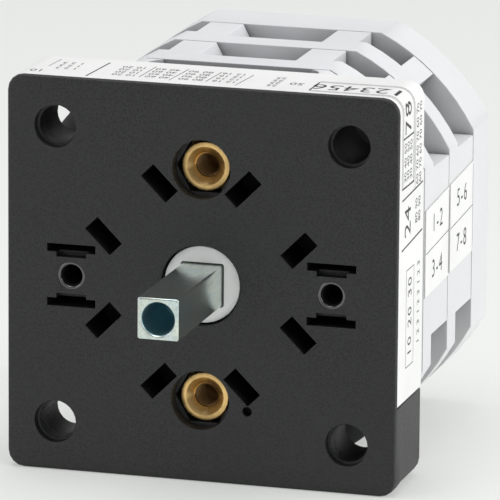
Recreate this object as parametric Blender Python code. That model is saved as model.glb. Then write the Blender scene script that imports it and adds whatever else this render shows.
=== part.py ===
"""Rotary isolator switch for a panel: a cam switch with a square shaft and two contact decks.

The shaft runs along Y. Every outline is drawn in millimetres round the shaft axis, as (x, z) seen from
the front, and every depth is measured back from the front face of the front plate.
"""
import math

import bmesh
import bpy
from mathutils import Matrix, Vector

MM = 0.001

# Driving sizes, in millimetres.
PLATE_SIDE = 48.0
PLATE_CORNER = 2.0
PLATE_THICK = 2.9
SHAFT_SIDE = 5.0
SHAFT_REACH = 17.1
TOTAL_DEPTH = 46.3
CORNER_HOLE_PITCH = 36.0
PANEL_NUT_PITCH = 28.0
BOSS_PITCH = 32.0
BOSS_SLOT = (3.0, 2.8, 3.8)
BOSS_LEDGE = (1.85, 2.2, 2.9)
BOSS_BORE = 1.25
CORNER_HOLE = 2.3
GAP = 0.3
SEAM = 0.05

# The brass nuts. Each one's hexagon is held in the housing, and its neck stands in the plate.
NUT_FLATS = 6.5
NUT_NECK = 2.93
NUT_BORE = 1.45
NUT_FRONT = 1.98
NUT_BACK = 7.8

# The black housing and the label round its rim.
HOUSING_FRONT = PLATE_THICK + SEAM
HOUSING_BACK = 11.5
CHAMBER_FLOOR = 8.2
CHAMBER_RADIUS = 9.3
RIM_RELIEF = 0.2
LABEL_THICK = 0.12
LABEL_FRONT = 0.65
LABEL_START = 19.0
LABEL_BOTTOM = -13.1

# The grey stack behind the housing.
STACK_RADIUS = 26.3
STACK_FLAT_X = 23.2
STACK_FLAT_Z = 23.7
BASE_BACK = 14.85
DECK_STARTS = (15.15, 26.65)
DECK_DEPTH = 11.2
DECK_WALL = 3.9
DECK_MIDDLE = 7.6
COVER_FRONT = 38.15
TIE_SPACING = 14.0

# The contact system, measured out from the shaft axis.
CAM_LOW = 5.0
CAM_LIFT = 2.4
NOSE_START = CAM_LOW + CAM_LIFT + 0.35
CHAMBER_REACH = 20.6
TERMINAL_X = 12.9
FULL_TURN = 2 * math.pi

FRONT_Y = (SHAFT_REACH - TOTAL_DEPTH) / 2
AXIS_Z = PLATE_SIDE / 2

for leftover in list(bpy.data.objects):
    bpy.data.objects.remove(leftover, do_unlink=True)


def material(name, colour, roughness, metallic=0.0):
    """A plain Principled BSDF finish."""
    finish = bpy.data.materials.new(name)
    finish.use_nodes = True
    shader = finish.node_tree.nodes["Principled BSDF"]
    shader.inputs["Base Color"].default_value = (*colour, 1.0)
    shader.inputs["Roughness"].default_value = roughness
    shader.inputs["Metallic"].default_value = metallic
    return finish


BLACK = material("black_moulding", (0.03, 0.03, 0.032), 0.55)
GREY = material("grey_moulding", (0.72, 0.73, 0.75), 0.5)
WHITE = material("white_nylon", (0.85, 0.85, 0.86), 0.45)
PAPER = material("label_paper", (0.9, 0.9, 0.88), 0.7)
BRASS = material("brass", (0.75, 0.5, 0.2), 0.3, 1.0)
ZINC = material("zinc_plate", (0.62, 0.66, 0.66), 0.3, 1.0)
STEEL = material("spring_steel", (0.5, 0.5, 0.5), 0.35, 1.0)
SILVER = material("contact_metal", (0.8, 0.6, 0.45), 0.35, 1.0)


# Outlines: lists of (x, z) points, anticlockwise as seen from the front.

def rectangle(width, height, x=0.0, z=0.0, turn=0.0):
    """A rectangle about (x, z), turned by an angle."""
    corners = ((-1, -1), (1, -1), (1, 1), (-1, 1))
    sine, cosine = math.sin(turn), math.cos(turn)
    points = []
    for side, level in corners:
        across, up = side * width / 2, level * height / 2
        points.append((x + across * cosine - up * sine, z + across * sine + up * cosine))
    return points


def box(x_low, x_high, z_low, z_high):
    """A rectangle between two x and two z values, in either order."""
    width, height = abs(x_high - x_low), abs(z_high - z_low)
    return rectangle(width, height, (x_low + x_high) / 2, (z_low + z_high) / 2)


def arc(radius, start, end, steps, x=0.0, z=0.0):
    """Points along an arc, both ends included."""
    angles = [start + (end - start) * step / steps for step in range(steps + 1)]
    return [(x + radius * math.cos(angle), z + radius * math.sin(angle)) for angle in angles]


def circle(radius, x=0.0, z=0.0, segments=24):
    return arc(radius, 0, FULL_TURN, segments, x, z)[:-1]


def hexagon(across_flats, x=0.0, z=0.0):
    return circle(across_flats / 2 / math.cos(math.pi / 6), x, z, 6)


def sector(inner, outer, start, end, steps):
    """A slice of a ring."""
    return arc(outer, start, end, steps) + arc(inner, end, start, steps)


def rounded_square(half, radius, steps=4):
    """A square about the axis with rounded corners."""
    points = []
    for quarter in range(4):
        start = quarter * math.pi / 2
        middle = start + math.pi / 4
        reach = (half - radius) * math.sqrt(2)
        centre = (reach * math.cos(middle), reach * math.sin(middle))
        points += arc(radius, start, start + math.pi / 2, steps, *centre)
    return points


def stack_outline(steps=8):
    """The grey parts' outline: a circle cut by four flats."""
    side = math.acos(STACK_FLAT_X / STACK_RADIUS)
    top = math.asin(STACK_FLAT_Z / STACK_RADIUS)
    points = arc(STACK_RADIUS, side, top, steps)
    points += arc(STACK_RADIUS, math.pi - top, math.pi - side, steps)
    points += arc(STACK_RADIUS, math.pi + side, math.pi + top, steps)
    points += arc(STACK_RADIUS, FULL_TURN - top, FULL_TURN - side, steps)
    return points


def rim_path(offset):
    """The line that the label follows: over the left corner, along the top and down the right side."""
    centre = PLATE_SIDE / 2 - PLATE_CORNER
    half = PLATE_SIDE / 2 - offset
    left = arc(PLATE_CORNER - offset, math.pi, math.pi / 2, 6, -centre, centre)
    right = arc(PLATE_CORNER - offset, math.pi / 2, 0, 6, centre, centre)
    return [(-half, LABEL_START)] + left + right + [(half, LABEL_BOTTOM)]


def mirrored(outline, x_sign, z_sign):
    """The same outline in another quadrant, still anticlockwise."""
    points = [(x * x_sign, z * z_sign) for x, z in outline]
    if x_sign * z_sign < 0:
        points.reverse()
    return points


def cam_outline(steps=72):
    """Two peaks, on +X and -X, with even ramps down to the two valleys between them."""
    points = []
    for step in range(steps):
        angle = FULL_TURN * step / steps
        from_peak = abs((angle + math.pi / 2) % math.pi - math.pi / 2)
        radius = CAM_LOW + CAM_LIFT * (1 - from_peak / (math.pi / 2))
        points.append((radius * math.cos(angle), radius * math.sin(angle)))
    return points


def star_outline(radius=8.6, notch=1.2, notch_width=0.2, steps=80):
    """The index wheel's rim, with a soft notch on each diagonal."""
    points = []
    for step in range(steps):
        angle = FULL_TURN * step / steps
        from_notch = (angle % (math.pi / 2)) - math.pi / 4
        reach = radius - notch * math.exp(-((from_notch / notch_width) ** 2))
        points.append((reach * math.cos(angle), reach * math.sin(angle)))
    return points


# Solids.

def as_object(name, work, finish):
    """Turn a bmesh drawn in millimetres into an object in metres."""
    bmesh.ops.recalc_face_normals(work, faces=work.faces)
    bmesh.ops.scale(work, vec=(MM, MM, MM), verts=work.verts)
    mesh = bpy.data.meshes.new(name)
    work.to_mesh(mesh)
    work.free()
    mesh.materials.append(finish)
    made = bpy.data.objects.new(name, mesh)
    bpy.context.collection.objects.link(made)
    return made


def add_prism(work, outline, start, end):
    """Draw a prism along Y in a bmesh and return its front face."""
    corners = [work.verts.new((x, start, z)) for x, z in outline]
    front = work.faces.new(corners)
    grown = bmesh.ops.extrude_face_region(work, geom=[front], use_keep_orig=True)
    moved = [part for part in grown["geom"] if isinstance(part, bmesh.types.BMVert)]
    bmesh.ops.translate(work, vec=(0, end - start, 0), verts=moved)
    return front


def prisms(name, finish, *shapes):
    """One object of separate prisms, each given as (outline, start depth, end depth)."""
    work = bmesh.new()
    for outline, start, end in shapes:
        add_prism(work, outline, start, end)
    return as_object(name, work, finish)


def bevelled_prism(name, finish, outline, start, end, width, rear=False):
    """A prism whose front or rear edge is rounded off."""
    work = bmesh.new()
    add_prism(work, outline, start, end)
    level = end if rear else start
    rim = [edge for edge in work.edges if all(abs(vert.co.y - level) < 1e-5 for vert in edge.verts)]
    bmesh.ops.bevel(work, geom=rim, offset=width, segments=2, profile=0.5, affect="EDGES")
    return as_object(name, work, finish)


def rods(name, finish, *shapes, segments=16):
    """One object of separate round bars or cones, each given as (start, end, start radius, end radius)."""
    work = bmesh.new()
    for start, end, radius, end_radius in shapes:
        start, end = Vector(start), Vector(end)
        along = end - start
        turn = along.to_track_quat("Z", "Y").to_matrix().to_4x4()
        place = Matrix.Translation((start + end) / 2) @ turn
        bmesh.ops.create_cone(work, cap_ends=True, segments=segments, radius1=radius, radius2=end_radius,
                              depth=along.length, matrix=place)
    return as_object(name, work, finish)


def coil(name, start, end, radius, wire, turns, sides=6, steps=12):
    """A coil spring along X, its wire ends cut flat."""
    work = bmesh.new()
    count = int(turns * steps)
    rings = []
    for step in range(count + 1):
        angle = FULL_TURN * step / steps
        along = start + wire + (end - start - 2 * wire) * step / count
        ring = []
        for side in range(sides):
            around = FULL_TURN * side / sides
            reach = radius + wire * math.cos(around)
            spot = (along + wire * math.sin(around), reach * math.cos(angle), reach * math.sin(angle))
            ring.append(work.verts.new(spot))
        rings.append(ring)
    for ring, following in zip(rings, rings[1:]):
        for side in range(sides):
            after = (side + 1) % sides
            work.faces.new((ring[side], ring[after], following[after], following[side]))
    work.faces.new(rings[0])
    work.faces.new(rings[-1])
    return as_object(name, work, STEEL)


def combine(body, tool, operation):
    """Run one Boolean on the body and remove the tool."""
    step = body.modifiers.new(operation, "BOOLEAN")
    step.operation = operation
    step.solver = "EXACT"
    step.object = tool
    bpy.context.view_layer.objects.active = body
    bpy.ops.object.modifier_apply(modifier=step.name)
    bpy.data.objects.remove(tool, do_unlink=True)


def cut(body, *shapes):
    """Cut away prisms that don't touch each other."""
    combine(body, prisms("cutter", BLACK, *shapes), "DIFFERENCE")


def weld(body, *shapes):
    """Add prisms that don't touch each other."""
    combine(body, prisms("addition", BLACK, *shapes), "UNION")


def cut_round(body, *shapes, segments=16):
    """Cut away round bars or cones that don't touch each other."""
    combine(body, rods("cutter", BLACK, *shapes, segments=segments), "DIFFERENCE")


def weld_round(body, *shapes, segments=16):
    """Add round bars or cones that don't touch each other."""
    combine(body, rods("addition", BLACK, *shapes, segments=segments), "UNION")


def place(body, depth=0.0, turn=(0.0, 0.0, 0.0)):
    """Put a finished piece on the shaft axis, its own depth zero at a depth behind the front face."""
    body.location = (0.0, (FRONT_Y + depth) * MM, AXIS_Z * MM)
    body.rotation_euler = turn
    body.data.shade_smooth()
    body.data.set_sharp_from_angle(angle=math.radians(35))
    return body


def copy_of(body, name):
    """Another object with the same mesh."""
    twin = bpy.data.objects.new(name, body.data)
    bpy.context.collection.objects.link(twin)
    return twin


def corners(pitch):
    half = pitch / 2
    return [(x * half, z * half) for x in (-1, 1) for z in (-1, 1)]


def slot_outlines():
    """Eight slots, a pair astride each diagonal and parallel to it."""
    along, aside, length, width = 12.1, 4.86, 4.3, 2.15
    outlines = []
    for quarter in range(4):
        angle = math.pi / 4 + quarter * math.pi / 2
        for side in (-1, 1):
            x = along * math.cos(angle) - side * aside * math.sin(angle)
            z = along * math.sin(angle) + side * aside * math.cos(angle)
            outlines.append(rectangle(length, width, x, z, angle))
    return outlines


def boss_slots(half_width, low, high):
    """Slots above and below each side boss."""
    return [box(x - half_width, x + half_width, sign * low, sign * high)
            for x in (-BOSS_PITCH / 2, BOSS_PITCH / 2) for sign in (-1, 1)]


def cut_label_relief(body):
    """Take a thin layer off the rim, where the label lies."""
    inner = rim_path(RIM_RELIEF)
    outer = rim_path(-1.5)
    inner[0] = (inner[0][0], LABEL_START - GAP)
    outer[0] = (outer[0][0], LABEL_START - GAP)
    inner[-1] = (inner[-1][0], LABEL_BOTTOM - GAP)
    outer[-1] = (outer[-1][0], LABEL_BOTTOM - GAP)
    cut(body, (inner + outer[::-1], LABEL_FRONT - 0.05, HOUSING_BACK + 1))


# The black front.

def front_plate():
    half_nut, half_boss = PANEL_NUT_PITCH / 2, BOSS_PITCH / 2
    square = rounded_square(PLATE_SIDE / 2, PLATE_CORNER)
    plate = bevelled_prism("front_plate", BLACK, square, 0, PLATE_THICK, 0.5)
    cut_label_relief(plate)
    shallow = [(circle(2.6, x, z), -1, 1.2) for x, z in corners(CORNER_HOLE_PITCH)]
    shallow += [(circle(3.6, 0, z), -1, 1.9) for z in (-half_nut, half_nut)]
    shallow += [(outline, -1, 1.2) for outline in boss_slots(*BOSS_LEDGE)]
    shallow += [(circle(0.6, 5.8, -14.9, 12), -1, 1.5)]
    cut(plate, *shallow)
    bosses = [((x, -0.1, 0), (x, 0.5, 0), 1.9, 1.3) for x in (-half_boss, half_boss)]
    cut_round(plate, *bosses, segments=24)
    through = [(circle(CORNER_HOLE, x, z), -1, 4) for x, z in corners(CORNER_HOLE_PITCH)]
    through += [(hexagon(2 * NUT_NECK + 0.34, 0, z), -1, 4) for z in (-half_nut, half_nut)]
    through += [(outline, -1, 4) for outline in slot_outlines() + boss_slots(*BOSS_SLOT)]
    through += [(circle(BOSS_BORE, x, 0), -1, 4) for x in (-half_boss, half_boss)]
    through += [(circle(4.9, segments=40), -1, 4)]
    cut(plate, *through)
    return place(plate)


def latch_housing():
    """The black block behind the plate. Three of its corners are open at the back, behind their holes."""
    half_nut, half_boss = PANEL_NUT_PITCH / 2, BOSS_PITCH / 2
    housing = prisms("latch_housing", BLACK, (rounded_square(23.9, PLATE_CORNER), HOUSING_FRONT, HOUSING_BACK))
    cut_label_relief(housing)
    pockets = [(circle(CHAMBER_RADIUS, segments=40), 2, CHAMBER_FLOOR)]
    pockets += [(circle(CORNER_HOLE, x, z), 2, 12) for x, z in corners(CORNER_HOLE_PITCH)]
    pockets += [(hexagon(NUT_FLATS + 0.5, 0, z), 2, NUT_BACK + GAP) for z in (-half_nut, half_nut)]
    pockets += [(outline, 2, 7) for outline in slot_outlines() + boss_slots(*BOSS_SLOT)]
    pockets += [(circle(BOSS_BORE, x, 0, 12), 2, 8) for x in (-half_boss, half_boss)]
    pockets += [(circle(1.6, 0, z, 16), 9, 12) for z in (-TIE_SPACING, TIE_SPACING)]
    cut(housing, *pockets)
    reach = 13.5 / math.sqrt(2)
    channels = [(rectangle(11, 5.6, sign * reach, sign * reach, math.pi / 4), 2, CHAMBER_FLOOR)
                for sign in (-1, 1)]
    channels += [(circle(4.4, segments=24), 8, 12)]
    cut(housing, *channels)
    stop_groove = sector(6.2, 8.3, math.radians(-12), math.radians(102), 16)
    cut(housing, (stop_groove, 8, 9.4))
    inner, outer, wall = 14.5, 25, 22.5
    open_corners = [box(-outer, -inner, -outer, -inner), box(-outer, -inner, inner, wall),
                    box(inner, wall, -outer, -inner)]
    cut(housing, *[(outline, CHAMBER_FLOOR, 12) for outline in open_corners])
    return place(housing)


def rating_label():
    inner = rim_path(0.15)
    outer = rim_path(0.15 - LABEL_THICK)
    label = prisms("rating_label", PAPER, (inner + outer[::-1], LABEL_FRONT, HOUSING_BACK - 0.1))
    return place(label)


def panel_nut(name, z):
    """A brass nut held in a hexagonal pocket, with a round neck and a blind countersunk thread."""
    nut = prisms(name, BRASS, (hexagon(NUT_FLATS, 0, z), 4.4, NUT_BACK))
    weld(nut, (circle(NUT_NECK, 0, z), NUT_FRONT, 5))
    cut(nut, (circle(NUT_BORE, 0, z, 20), 1, NUT_BACK - 0.6))
    mouth, depth = NUT_FRONT - 0.1, NUT_FRONT + 0.95
    cut_round(nut, ((0, mouth, z), (0, depth, z), 2.45, NUT_BORE - 0.03), segments=24)
    return place(nut)


# The rotor: everything that turns with the shaft.

def shaft():
    half, edge = SHAFT_SIDE / 2, 0.25
    square = rounded_square(half, edge, 2)
    bar = bevelled_prism("shaft", ZINC, square, -SHAFT_REACH, 40.4, 0.2)
    weld(bar, (circle(2.0, segments=20), 40.2, 42.3))
    weld(bar, (circle(1.5, segments=20), 42.1, 43.1))
    weld(bar, (circle(2.0, segments=20), 42.95, 43.7))
    cut(bar, (circle(1.95, segments=28), -18, -8))
    mouth = -SHAFT_REACH
    cut_round(bar, ((0, mouth - 0.1, 0), (0, mouth + 0.25, 0), 2.2, 1.9), segments=28)
    return place(bar)


def retaining_clip():
    ring = sector(1.7, 3.4, math.radians(40), math.radians(320), 14)
    return place(prisms("retaining_clip", STEEL, (ring, 42.42, 42.85)))


def index_wheel():
    wheel = prisms("index_wheel", WHITE, (star_outline(), 3.7, 7.8))
    weld(wheel, (circle(4.65, segments=40), 0.67, 4))
    stop_lug = sector(6.5, 8.0, math.radians(80), math.radians(100), 3)
    weld(wheel, (stop_lug, 7.6, 9.0))
    cut(wheel, (rounded_square(SHAFT_SIDE / 2 + 0.15, 0.2, 1), 0, 10))
    return place(wheel)


def contact_cam(number, start):
    """The cam that lifts both contact plungers of a deck."""
    cam = prisms(f"contact_cam_{number}", BLACK, (cam_outline(), -2.6, 2.6))
    weld(cam, (circle(4.5, segments=24), 0.3 - DECK_MIDDLE, -2))
    cut(cam, (rounded_square(SHAFT_SIDE / 2 + 0.15, 0.2, 1), -9, 4))
    return place(cam, start + DECK_MIDDLE)


# The latch that holds the shaft at each quarter turn.

def index_plunger(name, turn):
    """A round-nosed plunger on a diagonal, clear of the wheel's lobes."""
    half, centre = 2.4, 11.3
    outline = arc(half, math.pi / 2, 3 * math.pi / 2, 8, centre) + [(13, -half), (13, half)]
    plunger = prisms(name, WHITE, (outline, 4.2, 7.8))
    weld_round(plunger, ((12.8, 6, 0), (17.5, 6, 0), 0.9, 0.9), segments=12)
    return place(plunger, 0, (0, turn, 0))


def index_spring(name, turn):
    return place(coil(name, 13.3, 18.6, 1.5, 0.25, 4), 6, (0, turn, 0))


# The grey stack.

def tie_holes(start, end, radius=1.8):
    return [(circle(radius, 0, z, 16), start, end) for z in (-TIE_SPACING, TIE_SPACING)]


def deck_base():
    base = prisms("deck_base", GREY, (stack_outline(), HOUSING_BACK + GAP, BASE_BACK))
    cut(base, (circle(5.2), 11, 16), *tie_holes(11, 16))
    reach, corner, low = 10.6, 2.4, 21.3
    for sign in (-1, 1):
        back = arc(corner, 0, math.pi / 2, 4, reach - corner, BASE_BACK + 0.2 - corner)
        plan = [(reach, 11)] + back + [(-x, depth) for x, depth in back[::-1]] + [(-reach, 11)]
        work = bmesh.new()
        floor = work.faces.new([work.verts.new((x, depth, sign * low)) for x, depth in plan])
        grown = bmesh.ops.extrude_face_region(work, geom=[floor], use_keep_orig=True)
        moved = [part for part in grown["geom"] if isinstance(part, bmesh.types.BMVert)]
        bmesh.ops.translate(work, vec=(0, 0, sign * 5), verts=moved)
        combine(base, as_object("cutter", work, GREY), "DIFFERENCE")
    return place(base)


def wire_opening(x_sign, z_sign):
    """Where a wire enters from the side. Two opposite quadrants have the deeper opening."""
    low = 11.8 if x_sign == z_sign else 8.75
    outline = [(15.0, low), (27, low), (27, 19.3), (18.3, 19.3), (16.3, 17.3), (15.0, 17.3)]
    return mirrored(outline, x_sign, z_sign)


def contact_deck(number, start):
    """A tray that is open at the back: a front wall, and chambers for two double contacts."""
    floor, back = DECK_WALL, DECK_DEPTH + 1
    quadrants = [(x, z) for x in (-1, 1) for z in (-1, 1)]
    deck = prisms(f"contact_deck_{number}", GREY, (stack_outline(), 0, DECK_DEPTH))
    cut(deck, (circle(5.2), -1, back), *tie_holes(-1, back))
    contact_room = [(box(8, CHAMBER_REACH, -7.8, 7.8), floor, back),
                    (box(-CHAMBER_REACH, -8, -7.8, 7.8), floor, back)]
    cut(deck, *contact_room)
    cut(deck, (circle(8.4, segments=32), floor, back))
    leg_slots = [(mirrored(box(9.3, 11.1, 7, 12.5), x, z), floor, back) for x, z in quadrants]
    cut(deck, *leg_slots)
    clamps = [(mirrored(box(9.3, 15.6, 12, 17.5), x, z), floor, back) for x, z in quadrants]
    cut(deck, *clamps)
    drivers = [(mirrored(box(10.25, 15.6, 17, 26), x, z), DECK_MIDDLE - 2.4, back) for x, z in quadrants]
    cut(deck, *drivers)
    wires = [(wire_opening(x, z), floor, back) for x, z in quadrants]
    cut(deck, *wires)
    recess = [(-4.2, 20.3), (4.2, 20.3), (6, 23.7), (6, 26), (-6, 26), (-6, 23.7)]
    cut(deck, (recess, floor, back), (mirrored(recess, 1, -1), floor, back))
    return place(deck, start)


def rear_cover():
    cover = bevelled_prism("rear_cover", GREY, stack_outline(), COVER_FRONT, TOTAL_DEPTH, 0.5, rear=True)
    cut(cover, (circle(6.5), 38, 40.9), *tie_holes(38, 47))
    cut(cover, (circle(2.25, segments=20), 40, 43), *tie_holes(43.4, 48, 3.1))
    cut(cover, (circle(4.5), 42.1, 48))
    return place(cover)


def cross_slot(body, centre, size, depths):
    """A cross recess in a screw head that faces back."""
    wide, narrow = size, 0.7
    cut(body, (rectangle(wide, narrow, *centre), *depths))
    cut(body, (rectangle(narrow, wide, *centre), *depths))


def tie_screw(name, z):
    screw = prisms(name, ZINC, (circle(1.35, 0, z, 12), 9.4, 44))
    weld(screw, (circle(2.6, 0, z, 20), 43.7, 45.7))
    cross_slot(screw, (0, z), 3.2, (44.9, 46))
    return place(screw)


# The contacts of one deck, drawn round the deck's middle depth.

def contact_plunger():
    nose = [(NOSE_START, -1.2), (8.5, -1.9), (14.55, -1.9), (14.55, 1.9), (8.5, 1.9), (NOSE_START, 1.2)]
    plunger = prisms("contact_plunger", WHITE, (nose, -2.2, 2.2))
    weld_round(plunger, ((14.3, 0, 0), (19.5, 0, 0), 1.0, 1.0), segments=12)
    return plunger


def contact_bridge():
    """The moving bar, with a contact tip at each end and a hole for the plunger's stem."""
    outline = [(14.9, -7.2), (15.9, -7.2), (15.9, 7.2), (14.9, 7.2), (14.9, 6.7), (14.3, 6.7), (14.3, 4.7),
               (14.9, 4.7), (14.9, -4.7), (14.3, -4.7), (14.3, -6.7), (14.9, -6.7)]
    bridge = prisms("contact_bridge", SILVER, (outline, -2, 2))
    cut_round(bridge, ((14, 0, 0), (17, 0, 0), 1.3, 1.3))
    return bridge


def terminal():
    """A strip bent at a right angle, with a contact tip low on its leg and a screw hole."""
    outline = [(9.7, 4.2), (10.7, 4.2), (10.7, 4.6), (11.6, 4.6), (11.6, 6.8), (10.7, 6.8), (10.7, 12.4),
               (15.2, 12.4), (15.2, 13.4), (9.7, 13.4)]
    strip = prisms("terminal", SILVER, (outline, -2.4, 2.4))
    cut_round(strip, ((TERMINAL_X, 0, 12), (TERMINAL_X, 0, 14), 1.65, 1.65))
    return strip


def clamp_washer():
    plate = prisms("clamp_washer", ZINC, (box(TERMINAL_X - 2.3, TERMINAL_X + 2.3, 15.6, 16.3), -2.3, 2.3))
    cut_round(plate, ((TERMINAL_X, 0, 15), (TERMINAL_X, 0, 17), 1.65, 1.65))
    return plate


def terminal_screw():
    x = TERMINAL_X
    screw = rods("terminal_screw", ZINC, ((x, 0, 12.35), (x, 0, 17), 1.35, 1.35), segments=12)
    weld_round(screw, ((x, 0, 16.6), (x, 0, 18.6), 2.0, 2.0), segments=20)
    cut(screw, (box(x - 1.3, x + 1.3, 17.9, 19), -0.35, 0.35))
    cut(screw, (box(x - 0.35, x + 0.35, 17.9, 19), -1.3, 1.3))
    return screw


def side_label(number, start, lower, upper):
    """A label on the right flat of a deck, given the z of its lower and upper edges at both ends."""
    x, back = STACK_FLAT_X + 0.02, DECK_DEPTH - 0.2
    work = bmesh.new()
    outline = ((0.2, lower[0]), (back, lower[1]), (back, upper[1]), (0.2, upper[0]))
    face = work.faces.new([work.verts.new((x, depth, z)) for depth, z in outline])
    grown = bmesh.ops.extrude_face_region(work, geom=[face], use_keep_orig=True)
    moved = [part for part in grown["geom"] if isinstance(part, bmesh.types.BMVert)]
    bmesh.ops.translate(work, vec=(LABEL_THICK, 0, 0), verts=moved)
    return place(as_object(f"side_label_{number}", work, PAPER), start)


RIGHT_WAY = (0, 0, 0)
LEFT_WAY = (0, 0, math.pi)
QUADRANTS = {
    "upper_right": RIGHT_WAY,
    "upper_left": LEFT_WAY,
    "lower_left": (0, math.pi, 0),
    "lower_right": (math.pi, 0, 0),
}


def spread(pattern, ways):
    """Put a copy of a piece in every deck and way round, and remove the pattern."""
    for number, start in enumerate(DECK_STARTS, 1):
        for way, turn in ways.items():
            place(copy_of(pattern, f"{pattern.name}_{number}_{way}"), start + DECK_MIDDLE, turn)
    bpy.data.objects.remove(pattern, do_unlink=True)


front_plate()
latch_housing()
rating_label()
panel_nut("panel_nut_top", PANEL_NUT_PITCH / 2)
panel_nut("panel_nut_bottom", -PANEL_NUT_PITCH / 2)
shaft()
retaining_clip()
index_wheel()
for side, turn in (("upper_right", -math.pi / 4), ("lower_left", 3 * math.pi / 4)):
    index_plunger(f"index_plunger_{side}", turn)
    index_spring(f"index_spring_{side}", turn)
deck_base()
for number, start in enumerate(DECK_STARTS, 1):
    contact_deck(number, start)
    contact_cam(number, start)
rear_cover()
tie_screw("tie_screw_top", TIE_SPACING)
tie_screw("tie_screw_bottom", -TIE_SPACING)
side_label(1, DECK_STARTS[0], (-3.4, -3.0), (7.2, 7.9))
side_label(2, DECK_STARTS[1], (-2.95, -2.55), (7.95, 8.6))

both_sides = {"right": RIGHT_WAY, "left": LEFT_WAY}
spread(contact_plunger(), both_sides)
spread(contact_bridge(), both_sides)
spread(coil("contact_spring", 16.2, 20.3, 1.75, 0.25, 4), both_sides)
spread(terminal(), QUADRANTS)
spread(clamp_washer(), QUADRANTS)
spread(terminal_screw(), QUADRANTS)
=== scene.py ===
"""Looks of a panel-mounted rotary isolator switch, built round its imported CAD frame.

Every size is in metres in the frame's own axes: the shaft runs along Y with its end towards -Y,
X is to the right of the front plate and Z is up.
"""
import math

import bpy
from mathutils import Matrix, Vector


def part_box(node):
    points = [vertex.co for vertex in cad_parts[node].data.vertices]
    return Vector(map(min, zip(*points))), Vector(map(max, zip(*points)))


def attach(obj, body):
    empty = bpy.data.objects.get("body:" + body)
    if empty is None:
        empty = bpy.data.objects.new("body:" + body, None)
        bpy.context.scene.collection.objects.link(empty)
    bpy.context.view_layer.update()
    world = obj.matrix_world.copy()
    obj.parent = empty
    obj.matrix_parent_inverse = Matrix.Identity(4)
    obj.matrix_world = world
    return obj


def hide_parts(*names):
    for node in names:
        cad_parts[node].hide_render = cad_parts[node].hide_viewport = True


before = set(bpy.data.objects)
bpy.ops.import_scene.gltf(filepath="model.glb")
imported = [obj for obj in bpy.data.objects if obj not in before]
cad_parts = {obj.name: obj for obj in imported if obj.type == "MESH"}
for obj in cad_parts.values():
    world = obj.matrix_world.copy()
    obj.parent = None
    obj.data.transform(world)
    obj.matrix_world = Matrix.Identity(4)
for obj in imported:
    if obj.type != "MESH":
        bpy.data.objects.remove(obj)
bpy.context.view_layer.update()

bl_info = {
    "name": "Rotary Isolator Switch",
    "version": (1, 0, 0),
    "blender": (4, 5, 0),
    "location": "View3D > Sidebar > Isolator",
    "description": "Finishes the mouldings, shaft, brass nuts, springs and labels of a cam switch",
    "category": "Object",
}

MM = 0.001
SWITCH_BODY = "switch_body"
PLATE_LOW, PLATE_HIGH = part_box("front_plate")
LABEL_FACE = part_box("rating_label")[1].x
NUT_BORE = 1.45 * MM
PLAIN_ENDS = 1.8 * MM
LIP_RADIUS, LIP_SECTION, LIP_DEPTH = 1.55 * MM, 0.29 * MM, 0.46 * MM
FRONT = PLATE_LOW.y
AXIS = Vector((0.0, 0.0, (PLATE_LOW.z + PLATE_HIGH.z) / 2))
SIDES = ("right", "left")
LATCHES = ("upper_right", "lower_left")
QUADRANTS = ("upper_right", "upper_left", "lower_left", "lower_right")
DECKS = (1, 2)


# Sizes and colours that a user may change.

def length(name, description, default):
    return bpy.props.FloatProperty(
        name=name,
        description=description,
        default=default,
        min=0.0,
        precision=5,
        unit="LENGTH",
    )


def colour(name, description, default):
    return bpy.props.FloatVectorProperty(
        name=name,
        description=description,
        default=default,
        min=0.0,
        max=1.0,
        size=3,
        subtype="COLOR",
    )


def degrees(name, description, default):
    return bpy.props.FloatProperty(
        name=name,
        description=description,
        default=math.radians(default),
        subtype="ANGLE",
    )


def watts(name, description, default):
    return bpy.props.FloatProperty(
        name=name,
        description=description,
        default=default,
        min=0.0,
        unit="POWER",
    )


class IsolatorSizes(bpy.types.PropertyGroup):
    """Sizes of the edges, threads and print."""

    plate_edge: length("Plate edge", "Soft edge round the front plate's openings", 0.10 * MM)
    boss_reach: length("Boss reach", "From the shaft axis to a side boss", 16.0 * MM)
    body_edge: length("Body edge", "Soft edge of the grey mouldings", 0.14 * MM)
    metal_edge: length("Metal edge", "Broken edge of the shaft, nuts and screws", 0.07 * MM)
    thread_pitch: length("Thread pitch", "Pitch of the thread in the brass nuts", 0.5 * MM)
    thread_depth: length("Thread depth", "Height of the thread's crest", 0.17 * MM)
    ink_thickness: length("Ink thickness", "Height of the print above the labels", 0.008 * MM)
    line_width: length("Line width", "Width of the label's main lines", 0.22 * MM)
    fine_line: length("Fine line", "Width of the label's thin lines", 0.11 * MM)
    large_figure: length("Large figures", "Height of the large figures on the label", 2.7 * MM)
    small_figure: length("Small figures", "Height of the small figures on the label", 0.95 * MM)
    side_figure: length("Terminal figures", "Height of the terminal numbers", 2.2 * MM)


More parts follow.
